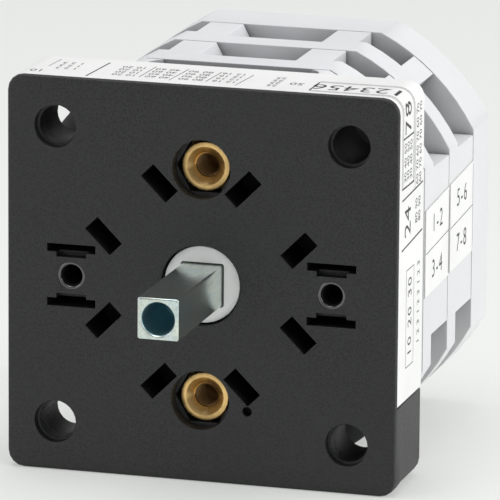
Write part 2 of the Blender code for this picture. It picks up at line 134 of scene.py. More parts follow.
class IsolatorColours(bpy.types.PropertyGroup):
    """Main colour of each finish."""

    black: colour("Black moulding", "Front plate and housing", (0.009, 0.009, 0.0094))
    grey: colour("Grey moulding", "Base, decks and cover", (0.74, 0.745, 0.76))
    cam: colour("Cam moulding", "Contact cams and plungers", (0.30, 0.045, 0.03))
    nylon: colour("White nylon", "Index wheel and plungers", (0.97, 0.965, 0.965))
    paper: colour("Label", "Face of the labels", (0.86, 0.86, 0.85))
    ink: colour("Ink", "Print on the labels", (0.012, 0.012, 0.014))
    brass: colour("Brass", "Panel nuts", (0.78, 0.53, 0.22))
    zinc: colour("Zinc plate", "Shaft and screws", (0.66, 0.74, 0.73))
    steel: colour("Spring steel", "Springs and clip", (0.42, 0.42, 0.43))
    copper: colour("Contact metal", "Bridges and terminals", (0.72, 0.42, 0.26))
    floor: colour("Floor", "Floor of the stage", (0.50, 0.507, 0.495))


class IsolatorStudio(bpy.types.PropertyGroup):
    """Camera and lights of the stage."""

    azimuth: degrees("Azimuth", "Camera's turn round the switch, to the right", 16.2536)
    elevation: degrees("Elevation", "Camera's angle above the floor", 13.5444)
    roll: degrees("Roll", "Camera's turn about its own axis", 0.4063)
    distance: length("Distance", "Camera to the middle of the front plate", 792.1184 * MM)
    pan: length("Pan", "How far the camera stands to the right of the plate's middle", 5.8347 * MM)
    lift: length("Lift", "How far the camera stands above the plate's middle", 4.2098 * MM)
    focal_length: bpy.props.FloatProperty(
        name="Focal length",
        description="Focal length of the lens, in millimetres",
        default=484.1646,
        unit="CAMERA",
    )
    key_power: watts("Key light", "Soft box above the switch", 1.35)
    side_power: watts("Side light", "Soft box to the left of the switch", 0.35)
    fill_power: watts("Fill light", "Soft box to the right of the switch", 1.45)
    surround: bpy.props.FloatProperty(
        name="Surround",
        description="Brightness of the pale surround",
        default=0.62,
        min=0.0,
    )


def sizes():
    return bpy.context.scene.isolator_sizes


def colours():
    return bpy.context.scene.isolator_colours


def studio():
    return bpy.context.scene.isolator_studio


# Materials.

class Amount:
    """A number that varies over a surface. Sums on it add Math nodes to its tree."""

    def __init__(self, mixer, socket):
        self.mixer = mixer
        self.socket = socket

    def joined(self, operation, first, second):
        return self.mixer.node("ShaderNodeMath", {"operation": operation}, {0: first, 1: second})

    def __add__(self, other):
        return self.joined("ADD", self, other)

    def __radd__(self, other):
        return self.joined("ADD", other, self)

    def __sub__(self, other):
        return self.joined("SUBTRACT", self, other)

    def __rsub__(self, other):
        return self.joined("SUBTRACT", other, self)

    def __mul__(self, other):
        return self.joined("MULTIPLY", self, other)

    def __rmul__(self, other):
        return self.joined("MULTIPLY", other, self)

    def __pow__(self, other):
        return self.joined("POWER", self, other)


class Mixer:
    """Adds nodes to one shader tree and joins them."""

    def __init__(self, tree):
        self.tree = tree

    def node(self, kind, settings=None, sockets=None, output=0):
        """Add a node: its settings first, then the values or links of its sockets."""
        made = self.tree.nodes.new(kind)
        for name, value in (settings or {}).items():
            if name == "stops":
                self.set_stops(made.color_ramp, value)
            else:
                setattr(made, name, value)
        for name, value in (sockets or {}).items():
            self.feed(made.inputs[name], value)
        out = made.outputs[output]
        return Amount(self, out) if out.type == "VALUE" else out

    def set_stops(self, ramp, stops):
        while len(ramp.elements) < len(stops):
            ramp.elements.new(0.5)
        for element, (position, shade) in zip(ramp.elements, stops):
            element.position = position
            element.color = (*shade, 1.0)

    def feed(self, socket, value):
        if isinstance(value, Amount):
            value = value.socket
        if isinstance(value, bpy.types.NodeSocket):
            self.tree.links.new(value, socket)
        elif socket.type == "RGBA" and len(value) == 3:
            socket.default_value = (*value, 1.0)
        else:
            socket.default_value = value


class Finish(Mixer):
    """A Principled material that is mixed node by node on Object coordinates."""

    def __init__(self, name, **constants):
        self.material = bpy.data.materials.new(name)
        self.material.use_nodes = True
        super().__init__(self.material.node_tree)
        self.shader = self.tree.nodes["Principled BSDF"]
        for socket, value in constants.items():
            self.shader.inputs[socket.replace("_", " ")].default_value = value
        self.place = self.node("ShaderNodeTexCoord", output="Object")

    def translucent(self, depths):
        """Let light into the skin by a different depth for each colour."""
        self.shader.inputs["Subsurface Radius"].default_value = depths
        self.shader.inputs["Subsurface Scale"].default_value = 1.0

    def stretched(self, scale, centre=(0.0, 0.0, 0.0)):
        """Object coordinates drawn out along an axis and centred on a point."""
        offset = [-middle * share for middle, share in zip(centre, scale)]
        return self.node("ShaderNodeMapping", {"vector_type": "POINT"},
                         {"Vector": self.place, "Location": offset, "Scale": scale})

    def noise(self, scale, detail=2.0, rough=0.5, spot=None):
        """Soft random patches. The scale is the number of patches in a metre."""
        return self.node("ShaderNodeTexNoise", None,
                         {"Vector": spot or self.place, "Scale": scale, "Detail": detail, "Roughness": rough})

    def grains(self, scale, spot=None):
        """Distance to the nearest of many scattered grains."""
        return self.node("ShaderNodeTexVoronoi", {"feature": "F1"},
                         {"Vector": spot or self.place, "Scale": scale}, "Distance")

    def from_axis(self, middle):
        """The distance from a line along Y through a point."""
        centred = self.stretched((1.0, 1.0, 1.0), middle)
        around = self.node("ShaderNodeVectorMath", {"operation": "MULTIPLY"},
                           {0: centred, 1: (1.0, 0.0, 1.0)})
        return self.node("ShaderNodeVectorMath", {"operation": "LENGTH"}, {0: around}, "Value")

    def openness(self, reach):
        """1 on open faces and towards 0 inside recesses and holes."""
        return self.node("ShaderNodeAmbientOcclusion", {"samples": 6}, {"Distance": reach}, "AO")

    def between(self, amount, low, high, bottom=0.0, top=1.0):
        """Ease from bottom to top as an amount goes from low to high."""
        return self.node("ShaderNodeMapRange", {"interpolation_type": "SMOOTHSTEP"},
                         {"Value": amount, "From Min": low, "From Max": high,
                          "To Min": bottom, "To Max": top})

    def mix(self, amount, first, second, blend="MIX"):
        """One colour changing into another."""
        return self.node("ShaderNodeMix", {"data_type": "RGBA", "blend_type": blend},
                         {"Factor": amount, 6: first, 7: second}, 2)

    def bump(self, height, distance, strength=1.0, normal=None):
        """A surface raised by a height between 0 and 1, in steps of a distance."""
        links = {"Height": height, "Strength": strength, "Distance": distance}
        if normal is not None:
            links["Normal"] = normal
        return self.node("ShaderNodeBump", None, links)

    def soft_corner(self, radius):
        """The surface's direction with its corners rounded off."""
        return self.node("ShaderNodeBevel", {"samples": 6}, {"Radius": radius})

    def corner_mask(self, radius):
        """0 on flat faces and towards 1 on sharp corners."""
        rounded = self.soft_corner(radius)
        plain = self.node("ShaderNodeNewGeometry", output="Normal")
        facing = self.node("ShaderNodeVectorMath", {"operation": "DOT_PRODUCT"},
                           {0: rounded, 1: plain}, "Value")
        return self.between(1 - facing, 0.01, 0.25)

    def use(self, **links):
        """Join finished colours and amounts to the shader."""
        for socket, value in links.items():
            self.feed(self.shader.inputs[socket.replace("_", " ")], value)
        return self.material


def shade(base, factor):
    """A colour made lighter or darker."""
    return tuple(min(1.0, part * factor) for part in base)


def black_moulding():
    """Black plastic with a fine spark-eroded grain. Its recesses are darkened as painted shade, and its edges
    are lightened as a painted highlight with some rubbed wear.
    """
    base = tuple(colours().black)
    made = Finish("black_moulding", IOR=1.5, Specular_IOR_Level=0.5)
    grain = made.grains(3900.0)
    fine = made.noise(5200.0, 3.0, 0.6)
    cloud = made.noise(70.0, 3.0)
    flow = made.noise(14.0, 2.0, 0.5, made.stretched((1.0, 1.0, 0.3)))
    on_edges = made.corner_mask(0.2 * MM)
    # Painted shade: an ambient occlusion mask of where the surface is closed in.
    painted_recess_shade = made.between(made.openness(3.0 * MM), 0.1, 0.6, 1.0, 0.0)
    speckle = made.between(grain, 0.12, 0.62)
    dark = made.mix(speckle, shade(base, 0.3), shade(base, 2.1))
    clouded = made.mix(made.between(cloud, 0.35, 0.7) * 0.35, dark, shade(base, 2.2))
    # Painted highlight with some rubbed wear: the edges are lightened.
    edged = made.mix(on_edges * 0.5, clouded, shade(base, 3.2))
    rough = 0.36 + 0.14 * cloud + 0.1 * fine - 0.24 * on_edges + 0.2 * painted_recess_shade
    height = grain * 0.8 + fine * 0.5 + flow * 0.6
    normal = made.bump(height, 0.07 * MM, 0.9, made.soft_corner(0.2 * MM))
    # Painted shade: closed-in faces are darkened to near black.
    recess_shaded = made.mix(painted_recess_shade, edged, shade(base, 0.1))
    return made.use(Base_Color=recess_shaded, Roughness=rough, Normal=normal)


def polished_black():
    """Black plastic left glossy by the mould's pins."""
    base = tuple(colours().black)
    made = Finish("polished_black", IOR=1.6, Specular_IOR_Level=0.9, Coat_Weight=0.8, Coat_Roughness=0.08)
    scuff = made.noise(1500.0, 3.0, 0.6)
    body = made.mix(scuff, shade(base, 0.6), shade(base, 1.5))
    normal = made.bump(scuff, 0.01 * MM, 0.5)
    return made.use(Base_Color=body, Roughness=0.12 + 0.16 * scuff, Normal=normal)


def grey_moulding():
    """Light grey plastic with a satin skin and faint flow marks, and painted shade in its recesses."""
    base = tuple(colours().grey)
    made = Finish("grey_moulding", IOR=1.5, Specular_IOR_Level=0.5, Subsurface_Weight=0.04)
    made.translucent((1.2 * MM, 1.1 * MM, 1.0 * MM))
    cloud = made.noise(55.0, 3.0)
    skin = made.noise(1500.0, 4.0, 0.62)
    pits = made.grains(2300.0)
    flow = made.noise(90.0, 3.0, 0.55, made.stretched((1.0, 0.18, 1.0)))
    on_edges = made.corner_mask(0.2 * MM)
    # Painted shade: an ambient occlusion mask of where the surface is closed in.
    painted_recess_shade = made.between(made.openness(6.0 * MM), 0.3, 0.95, 1.0, 0.0)
    body = made.mix(made.between(cloud, 0.3, 0.72), shade(base, 0.96), shade(base, 1.03))
    dusted = made.mix(made.between(skin, 0.55, 0.8) * 0.3, body, shade(base, 0.9))
    # Painted shade: closed-in faces are darkened.
    shaded = made.mix(painted_recess_shade, dusted, shade(base, 0.42))
    edged = made.mix(on_edges * 0.35, shaded, shade(base, 1.12))
    rough = 0.36 + 0.14 * skin + 0.08 * flow
    height = skin * 0.6 + pits * 0.25 + flow * 0.8
    normal = made.bump(height, 0.012 * MM, 0.6)
    return made.use(Base_Color=edged, Roughness=rough, Normal=normal)


def cam_moulding():
    """Dark red plastic of the cams and contact plungers."""
    base = tuple(colours().cam)
    made = Finish("cam_moulding", IOR=1.5, Specular_IOR_Level=0.5)
    cloud = made.noise(160.0, 3.0)
    skin = made.noise(2400.0, 3.0, 0.6)
    on_edges = made.corner_mask(0.12 * MM)
    body = made.mix(cloud, shade(base, 0.8), shade(base, 1.2))
    edged = made.mix(on_edges * 0.5, body, shade(base, 1.9))
    normal = made.bump(skin + cloud * 0.5, 0.01 * MM, 0.6)
    return made.use(Base_Color=edged, Roughness=0.34 + 0.16 * skin, Normal=normal)


def white_nylon():
    """White nylon, a little waxy, with a trace of grease."""
    base = tuple(colours().nylon)
    made = Finish("white_nylon", IOR=1.53, Subsurface_Weight=0.12)
    made.translucent((1.4 * MM, 1.2 * MM, 1.1 * MM))
    cloud = made.noise(210.0, 3.0)
    skin = made.noise(2100.0, 3.0, 0.6)
    smear = made.between(made.noise(480.0, 2.0), 0.5, 0.72)
    body = made.mix(cloud, shade(base, 0.95), shade(base, 1.06))
    greased = made.mix(smear * 0.08, body, (0.62, 0.6, 0.55))
    rough = 0.4 + 0.1 * skin - 0.16 * smear
    normal = made.bump(skin * 0.7 + cloud * 0.6, 0.01 * MM, 0.6)
    return made.use(Base_Color=greased, Roughness=rough, Normal=normal)


def label_paper():
    """White film label with a satin varnish."""
    base = tuple(colours().paper)
    made = Finish("label_paper", IOR=1.46, Coat_Roughness=0.28)
    fibre = made.noise(3800.0, 4.0, 0.65, made.stretched((1.0, 0.35, 1.0)))
    cloud = made.noise(120.0, 2.0)
    body = made.mix(made.between(cloud, 0.3, 0.7), shade(base, 0.965), shade(base, 1.03))
    toned = made.mix(made.between(fibre, 0.55, 0.85) * 0.25, body, shade(base, 0.9))
    lift = made.noise(260.0, 2.0)
    normal = made.bump(fibre * 0.35 + lift, 0.008 * MM, 0.6)
    return made.use(Base_Color=toned, Roughness=0.42 + 0.12 * fibre, Coat_Weight=0.25 + 0.2 * cloud,
                    Normal=normal)


def label_ink():
    """Black printing ink, a little uneven."""
    base = tuple(colours().ink)
    made = Finish("label_ink", IOR=1.48)
    density = made.noise(2600.0, 3.0, 0.6)
    thin = made.between(density, 0.5, 0.78)
    body = made.mix(thin * 0.5, base, (0.07, 0.07, 0.078))
    normal = made.bump(density, 0.004 * MM, 0.4)
    return made.use(Base_Color=body, Roughness=0.38 + 0.16 * density, Normal=normal)


def turned_brass(name, middle):
    """Brass with fine turning marks round the middle of a nut. Its bore is darkened as painted shade with
    some tarnish, and its edges are lightened as a painted highlight with some rubbed wear.
    """
    base = tuple(colours().brass)
    made = Finish(name, Metallic=1.0)
    centred = made.stretched((1.0, 1.0, 1.0), middle)
    rings = made.node("ShaderNodeTexWave",
                      {"wave_type": "RINGS", "rings_direction": "Y", "wave_profile": "SAW"},
                      {"Vector": centred, "Scale": 1900.0, "Distortion": 1.2, "Detail": 2.0,
                       "Detail Scale": 1.4}, "Fac")
    tarnish = made.noise(420.0, 4.0, 0.6)
    fine = made.noise(3400.0, 3.0, 0.6)
    on_edges = made.corner_mask(0.1 * MM)
    body = made.mix(made.between(tarnish, 0.35, 0.7), shade(base, 1.25), shade(base, 0.85))
    ringed = made.mix(rings * 0.22, body, shade(base, 0.6))
    # Painted shade, partly tarnish: everything inside the threaded bore is darkened.
    bore_shade = made.between(made.from_axis(middle), NUT_BORE - 0.05 * MM, NUT_BORE + 0.07 * MM, 1.0, 0.0)
    bore_shaded = made.mix(bore_shade * 0.9, ringed, (0.10, 0.034, 0.008))
    # Painted highlight with some rubbed wear: the edges are lightened.
    edged = made.mix(on_edges * 0.6, bore_shaded, (0.93, 0.74, 0.42))
    rough = 0.24 + 0.14 * tarnish + 0.08 * fine + 0.05 * rings
    normal = made.bump(rings * 0.6 + fine * 0.4, 0.006 * MM, 0.5)
    return made.use(Base_Color=edged, Roughness=rough, Normal=normal)


def brass():
    """Plain brass of the nuts' threads."""
    return turned_brass("brass", tuple(AXIS))


def zinc_plate():
    """Drawn steel under passivated zinc: blue, straw and rose tints over long draw marks."""
    base = tuple(colours().zinc)
    made = Finish("zinc_plate", Metallic=0.95)
    drawn = made.stretched((1.0, 0.045, 1.0))
    lines = made.noise(5200.0, 4.0, 0.65, drawn)
    film = made.noise(240.0, 3.0, 0.6, made.stretched((1.0, 0.5, 1.0)))
    stain = made.noise(620.0, 4.0, 0.6)
    on_edges = made.corner_mask(0.12 * MM)
    tints = made.node("ShaderNodeValToRGB",
                      {"stops": ((0.30, (0.50, 0.66, 0.74)), (0.42, (0.58, 0.74, 0.70)),
                                 (0.52, (0.76, 0.80, 0.62)), (0.60, (0.66, 0.72, 0.66)),
                                 (0.72, (0.54, 0.68, 0.74)))},
                      {"Fac": film}, "Color")
    body = made.mix(0.55, base, tints)
    streak = made.noise(2100.0, 3.0, 0.7, made.stretched((1.0, 0.22, 1.0)))
    stained = made.mix(made.between(stain, 0.5, 0.75) * 0.4, body, shade(base, 0.62))
    scored = made.mix(made.between(streak, 0.4, 0.62) * 0.35, stained, shade(base, 0.6))
    streaked = made.mix(made.between(lines, 0.35, 0.7) * 0.35, scored, shade(base, 1.35))
    # Darker, bluer and rougher inside the shaft's bore, within about 2 mm of its axis.
    bore = made.between(made.from_axis(tuple(AXIS)), 1.97 * MM, 2.05 * MM, 1.0, 0.0)
    bore_tinted = made.mix(bore * 0.85, streaked, (0.26, 0.50, 0.58))
    # Painted highlight with some rubbed wear: the edges are lightened.
    edged = made.mix(on_edges * 0.6, bore_tinted, (0.86, 0.88, 0.9))
    rough = 0.06 + 0.08 * lines + 0.12 * streak + 0.07 * stain + 0.3 * bore
    normal = made.bump(lines * 0.8 + stain * 0.25, 0.004 * MM, 0.5)
    return made.use(Base_Color=edged, Roughness=rough, Normal=normal)


def spring_steel():
    """Bright drawn wire."""
    base = tuple(colours().steel)
    made = Finish("spring_steel", Metallic=1.0)
    drawn = made.noise(4200.0, 3.0, 0.6)
    cloud = made.noise(500.0, 3.0)
    body = made.mix(cloud, shade(base, 0.75), shade(base, 1.25))
    streaked = made.mix(made.between(drawn, 0.45, 0.75) * 0.4, body, shade(base, 1.5))
    normal = made.bump(drawn, 0.004 * MM, 0.5)
    return made.use(Base_Color=streaked, Roughness=0.24 + 0.18 * drawn, Normal=normal)


def contact_metal():
    """Rolled copper alloy, a little tarnished."""
    base = tuple(colours().copper)
    made = Finish("contact_metal", Metallic=1.0)
    rolled = made.noise(3600.0, 3.0, 0.6, made.stretched((1.0, 0.2, 1.0)))
    tarnish = made.noise(380.0, 4.0, 0.6)
    on_edges = made.corner_mask(0.08 * MM)
    body = made.mix(made.between(tarnish, 0.35, 0.7), shade(base, 1.1), shade(base, 0.6))
    streaked = made.mix(made.between(rolled, 0.4, 0.7) * 0.3, body, (0.86, 0.66, 0.5))
    edged = made.mix(on_edges * 0.5, streaked, (0.95, 0.78, 0.62))
    normal = made.bump(rolled, 0.005 * MM, 0.5)
    return made.use(Base_Color=edged, Roughness=0.26 + 0.2 * tarnish, Normal=normal)


def stage_floor():
    """Matt pale board."""
    base = tuple(colours().floor)
    made = Finish("stage_floor", Specular_IOR_Level=0.2, Emission_Strength=0.70)
    cloud = made.noise(9.0, 3.0)
    tooth = made.noise(900.0, 2.0)
    body = made.mix(cloud, shade(base, 0.99), shade(base, 1.01))
    normal = made.bump(tooth, 0.01 * MM, 0.3)
    return made.use(Base_Color=body, Emission_Color=body, Roughness=0.7 + 0.1 * tooth, Normal=normal)


RECIPES = {
    "black_moulding": black_moulding,
    "polished_black": polished_black,
    "grey_moulding": grey_moulding,
    "cam_moulding": cam_moulding,
    "white_nylon": white_nylon,
    "label_paper": label_paper,
    "label_ink": label_ink,
    "brass": brass,
    "zinc_steel": zinc_plate,
    "spring_steel": spring_steel,
    "contact_metal": contact_metal,
}
MIXED = {}


def finish(slot):
    """A slot's material, mixed the first time it is asked for."""
    if slot not in MIXED:
        MIXED[slot] = RECIPES[slot]()
    return MIXED[slot]


def dress(piece, material):
    """Give a piece one material on its object's only slot."""
    if not piece.material_slots:
        piece.data.materials.append(material)
    for material_slot in piece.material_slots:
        material_slot.material = material


# Modelling steps.

def take(*pieces):
    """Leave edit mode and select only these pieces, the last one active."""
    if bpy.context.object and bpy.context.object.mode != "OBJECT":
        bpy.ops.object.mode_set(mode="OBJECT")
    bpy.ops.object.select_all(action="DESELECT")
    for piece in pieces:
        piece.select_set(True)
        bpy.context.view_layer.objects.active = piece


def apply_step(piece, kind, **settings):
    """Add a modifier and apply it."""
    take(piece)
    step = piece.modifiers.new(kind.lower(), kind)
    for name, value in settings.items():
        setattr(step, name, value)
    bpy.ops.object.modifier_apply(modifier=step.name)


def merged_copy(node, name):
    """A new piece from a CAD node's faces, its triangles merged into whole faces."""
    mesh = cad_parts[node].data.copy()
    mesh.name = name
    mesh.materials.clear()
    piece = bpy.data.objects.new(name, mesh)
    bpy.context.scene.collection.objects.link(piece)
    take(piece)
    bpy.ops.mesh.customdata_custom_splitnormals_clear()
    bpy.ops.object.mode_set(mode="EDIT")
    bpy.ops.mesh.select_all(action="SELECT")
    bpy.ops.mesh.remove_doubles(threshold=0.002 * MM)
    bpy.ops.mesh.dissolve_limited(angle_limit=math.radians(0.6))
    bpy.ops.object.mode_set(mode="OBJECT")
    return piece


def soft_copy(node, name, edge, slot, body=SWITCH_BODY):
    """A CAD node's shape with its sharp edges rounded, standing for that node."""
    piece = merged_copy(node, name)
    bpy.ops.object.mode_set(mode="EDIT")
    bpy.ops.mesh.quads_convert_to_tris(quad_method="BEAUTY", ngon_method="BEAUTY")
    bpy.ops.object.mode_set(mode="OBJECT")
    apply_step(piece, "BEVEL", width=edge, segments=2, limit_method="ANGLE",
               angle_limit=math.radians(38), harden_normals=False, miter_outer="MITER_ARC")
    take(piece)
    bpy.ops.object.shade_smooth_by_angle(angle=math.radians(32))
    apply_step(piece, "WEIGHTED_NORMAL", mode="FACE_AREA", weight=90, keep_sharp=True)
    dress(piece, finish(slot))
    settle(piece, body, slot, node)
    return piece


def settle(piece, body, slot, *nodes):
    """Put a finished piece on its body and hide the CAD nodes it stands for. The slot is not used."""
    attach(piece, body)
    if nodes:
        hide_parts(*nodes)


def keep_node(node, slot):
    """Leave a CAD node showing, in a better material."""
    dress(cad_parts[node], finish(slot))


def name_active(name):
    """Name the piece that an operator has just added."""
    piece = bpy.context.object
    piece.name = name
    piece.data.name = name
    return piece


def wound(name, middle, axis, radius, wire, pitch, turns, sides, steps):
    """A bar wound into a helix about an axis through its middle, made with a circle and Screw."""
    take()
    bpy.ops.mesh.primitive_circle_add(vertices=sides, radius=wire, location=(radius, 0.0, 0.0),
                                      rotation=(math.pi / 2, 0.0, 0.0), fill_type="NOTHING")
    piece = name_active(name)
    bpy.ops.object.transform_apply(location=True, rotation=True, scale=True)
    apply_step(piece, "SCREW", axis="Z", angle=2 * math.pi, screw_offset=pitch, iterations=turns,
               steps=steps, render_steps=steps, use_smooth_shade=True)
    take(piece)
    bpy.ops.object.mode_set(mode="EDIT")
    bpy.ops.mesh.select_all(action="SELECT")
    bpy.ops.mesh.remove_doubles(threshold=0.0005 * MM)
    bpy.ops.mesh.select_all(action="DESELECT")
    bpy.ops.mesh.select_non_manifold()
    bpy.ops.mesh.edge_face_add()
    bpy.ops.mesh.select_all(action="SELECT")
    bpy.ops.mesh.normals_make_consistent(inside=False)
    bpy.ops.object.mode_set(mode="OBJECT")
    turn = Vector(axis).to_track_quat("Z", "Y").to_matrix().to_4x4()
    lift = Matrix.Translation((0.0, 0.0, -pitch * turns / 2))
    piece.data.transform(Matrix.Translation(middle) @ turn @ lift)
    take(piece)
    bpy.ops.object.shade_smooth_by_angle(angle=math.radians(50))
    return piece


# The label's own coordinates: along runs right over the top, round the corner and down the side,
# and across runs back from the front face.

CORNER = 2.0 * MM
TOP_END = PLATE_HIGH.x - CORNER
BEND = CORNER * math.pi / 2


def down_side(height):
    """The distance along the label at a height above the shaft axis on its side face."""
    return TOP_END + BEND + (TOP_END - height)


def label_spot(along, across, proud):
    """A point on the label, a little proud of its face."""
    face = LABEL_FACE + proud
    depth = FRONT + across
    if along < TOP_END:
        return Vector((along, depth, AXIS.z + face))
    if along < TOP_END + BEND:
        angle = (along - TOP_END) / BEND * math.pi / 2
        reach = face - TOP_END
        return Vector((TOP_END + reach * math.sin(angle), depth,
                       AXIS.z + TOP_END + reach * math.cos(angle)))
    return Vector((face, depth, AXIS.z + TOP_END - (along - TOP_END - BEND)))


def flat_line(points, width):
    """A flat printed line through points in the label's own coordinates."""
    take()
    bpy.ops.mesh.primitive_plane_add(size=1.0)
    line = name_active("line")
    (x_start, y_start), (x_end, y_end) = points
    run = Vector((x_end - x_start, y_end - y_start, 0.0))
    bpy.ops.object.mode_set(mode="EDIT")
    bpy.ops.mesh.select_all(action="SELECT")
    bpy.ops.transform.resize(value=(run.length, width, 1.0))
    bpy.ops.object.mode_set(mode="OBJECT")
    turn = Matrix.Rotation(math.atan2(run.y, run.x), 4, "Z")
    middle = Matrix.Translation(((x_start + x_end) / 2, (y_start + y_end) / 2, 0.0))
    line.data.transform(middle @ turn)
    return line


def figures(text, x, y, height, turn=0.0, spread=1.0):
    """Generic figures as a flat mesh, centred on a point."""
    take()
    bpy.ops.object.text_add()
    words = name_active("figures")
    words.data.body = text
    words.data.size = height * 1.42
    words.data.align_x = "CENTER"
    words.data.align_y = "CENTER"
    words.data.space_character = spread
    words.data.resolution_u = 3
    take(words)
    bpy.ops.object.convert(target="MESH")
    words.data.transform(Matrix.Translation((x, y, 0.0)) @ Matrix.Rotation(turn, 4, "Z"))
    return words


def printed(name, marks, slot="label_paper"):
    """Join flat marks into one print."""
    take(*marks)
    bpy.ops.object.join()
    piece = name_active(name)
    piece.data.materials.clear()
    dress(piece, finish("label_ink"))
    settle(piece, SWITCH_BODY, slot)
    return piece


def wrap_on_label(piece, proud):
    """Cut a flat print finely along the corner and lay it on the label."""
    take(piece)
    bpy.ops.object.mode_set(mode="EDIT")
    for step in range(9):
        bpy.ops.mesh.select_all(action="SELECT")
        bpy.ops.mesh.bisect(plane_co=(TOP_END + BEND * step / 8, 0.0, 0.0), plane_no=(1.0, 0.0, 0.0))
    bpy.ops.object.mode_set(mode="OBJECT")
    for vertex in piece.data.vertices:
        vertex.co = label_spot(vertex.co.x, vertex.co.y, proud)
    piece.data.update()


class ISOLATOR_OT_mouldings(bpy.types.Operator):
    """Model the black front, the grey base, decks and cover with soft edges"""

    bl_idname = "isolator.mouldings"
    bl_label = "Mouldings"

    def execute(self, context):
        edge = sizes().body_edge
        soft_copy("front_plate", "plate_moulding", sizes().plate_edge, "black_moulding")
        soft_copy("latch_housing", "housing_moulding", sizes().plate_edge, "black_moulding")
        soft_copy("deck_base", "base_moulding", edge, "grey_moulding")
        soft_copy("rear_cover", "cover_moulding", edge, "grey_moulding")
        for number in DECKS:
            soft_copy(f"contact_deck_{number}", f"deck_moulding_{number}", edge, "grey_moulding")
        return {"FINISHED"}


class ISOLATOR_OT_boss_lips(bpy.types.Operator):
    """Model the rounded, glossy lip in the mouth of each side boss"""

    bl_idname = "isolator.boss_lips"
    bl_label = "Boss lips"

    def execute(self, context):
        take()
        place = (-sizes().boss_reach, FRONT + LIP_DEPTH, AXIS.z)
        bpy.ops.mesh.primitive_torus_add(major_radius=LIP_RADIUS, minor_radius=LIP_SECTION,
                                         major_segments=48, minor_segments=16, location=place,
                                         rotation=(math.pi / 2, 0.0, 0.0))
        left = name_active("boss_lip_left")
        bpy.ops.object.mode_set(mode="EDIT")
        bpy.ops.mesh.select_all(action="SELECT")
        bpy.ops.transform.resize(value=(1.0, 1.4, 1.0))
        bpy.ops.object.mode_set(mode="OBJECT")
        bpy.ops.object.transform_apply(location=True, rotation=True, scale=True)
        bpy.ops.object.shade_smooth()
        right = left.copy()
        right.name = "boss_lip_right"
        right.data = left.data.copy()
        right.data.name = right.name
        right.data.transform(Matrix.Translation((2 * sizes().boss_reach, 0.0, 0.0)))
        context.scene.collection.objects.link(right)
        for lip in (left, right):
            dress(lip, finish("polished_black"))
            settle(lip, SWITCH_BODY, "black_moulding")
        return {"FINISHED"}


class ISOLATOR_OT_rotor(bpy.types.Operator):
    """Model the shaft, index wheel, cams and retaining clip"""

    bl_idname = "isolator.rotor"
    bl_label = "Shaft and rotor"

    def execute(self, context):
        edge = sizes().metal_edge
        soft_copy("shaft", "square_shaft", edge, "zinc_steel", "rotor")
        soft_copy("index_wheel", "nylon_wheel", edge, "white_nylon", "rotor")
        soft_copy("retaining_clip", "spring_clip", edge, "spring_steel", "rotor")
        for number in DECKS:
            soft_copy(f"contact_cam_{number}", f"red_cam_{number}", edge, "cam_moulding", "rotor")
        return {"FINISHED"}


class ISOLATOR_OT_panel_nuts(bpy.types.Operator):
    """Model the two brass nuts with turned faces and cut threads"""

    bl_idname = "isolator.panel_nuts"
    bl_label = "Panel nuts"

    def execute(self, context):
        for place in ("top", "bottom"):
            node = f"panel_nut_{place}"
            low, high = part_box(node)
            middle = (low + high) / 2
            nut = soft_copy(node, f"brass_nut_{place}", sizes().metal_edge, "brass")
            material = turned_brass(f"turned_brass_{place}", tuple(middle))
            dress(nut, material)
            pitch = sizes().thread_pitch
            turns = int((high.y - low.y - PLAIN_ENDS) / pitch)
            thread = wound(f"nut_thread_{place}", middle, (0.0, 1.0, 0.0),
                           NUT_BORE + 0.02 * MM, sizes().thread_depth, pitch, turns, 6, 32)
            dress(thread, material)
            settle(thread, SWITCH_BODY, "brass")
        return {"FINISHED"}


class ISOLATOR_OT_screws(bpy.types.Operator):
    """Model the tie screws, the terminals and their screws and washers"""

    bl_idname = "isolator.screws"
    bl_label = "Screws and terminals"

    def execute(self, context):
        edge = sizes().metal_edge
        for place in ("top", "bottom"):
            soft_copy(f"tie_screw_{place}", f"long_screw_{place}", edge, "zinc_steel")
        for number in DECKS:
            for corner in QUADRANTS:
                place = f"{number}_{corner}"
                soft_copy(f"terminal_screw_{place}", f"clamp_screw_{place}", edge, "zinc_steel")
                soft_copy(f"clamp_washer_{place}", f"square_washer_{place}", edge, "zinc_steel")
                soft_copy(f"terminal_{place}", f"terminal_bar_{place}", edge, "contact_metal")
        return {"FINISHED"}


class ISOLATOR_OT_moving_contacts(bpy.types.Operator):
    """Finish the plungers and contact bridges, which slide inside the decks"""

    bl_idname = "isolator.moving_contacts"
    bl_label = "Moving contacts"

    def execute(self, context):
        for number in DECKS:
            for side in SIDES:
                place = f"{number}_{side}"
                body = f"moving_contact_{place}"
                soft_copy(f"contact_plunger_{place}", f"red_plunger_{place}", sizes().metal_edge,
                          "cam_moulding", body)
                keep_node(f"contact_bridge_{place}", "contact_metal")
                keep_node(f"contact_spring_{place}", "spring_steel")
        for corner in LATCHES:
            soft_copy(f"index_plunger_{corner}", f"nylon_plunger_{corner}", sizes().metal_edge,
                      "white_nylon", f"index_latch_{corner}")
            keep_node(f"index_spring_{corner}", "spring_steel")
        return {"FINISHED"}


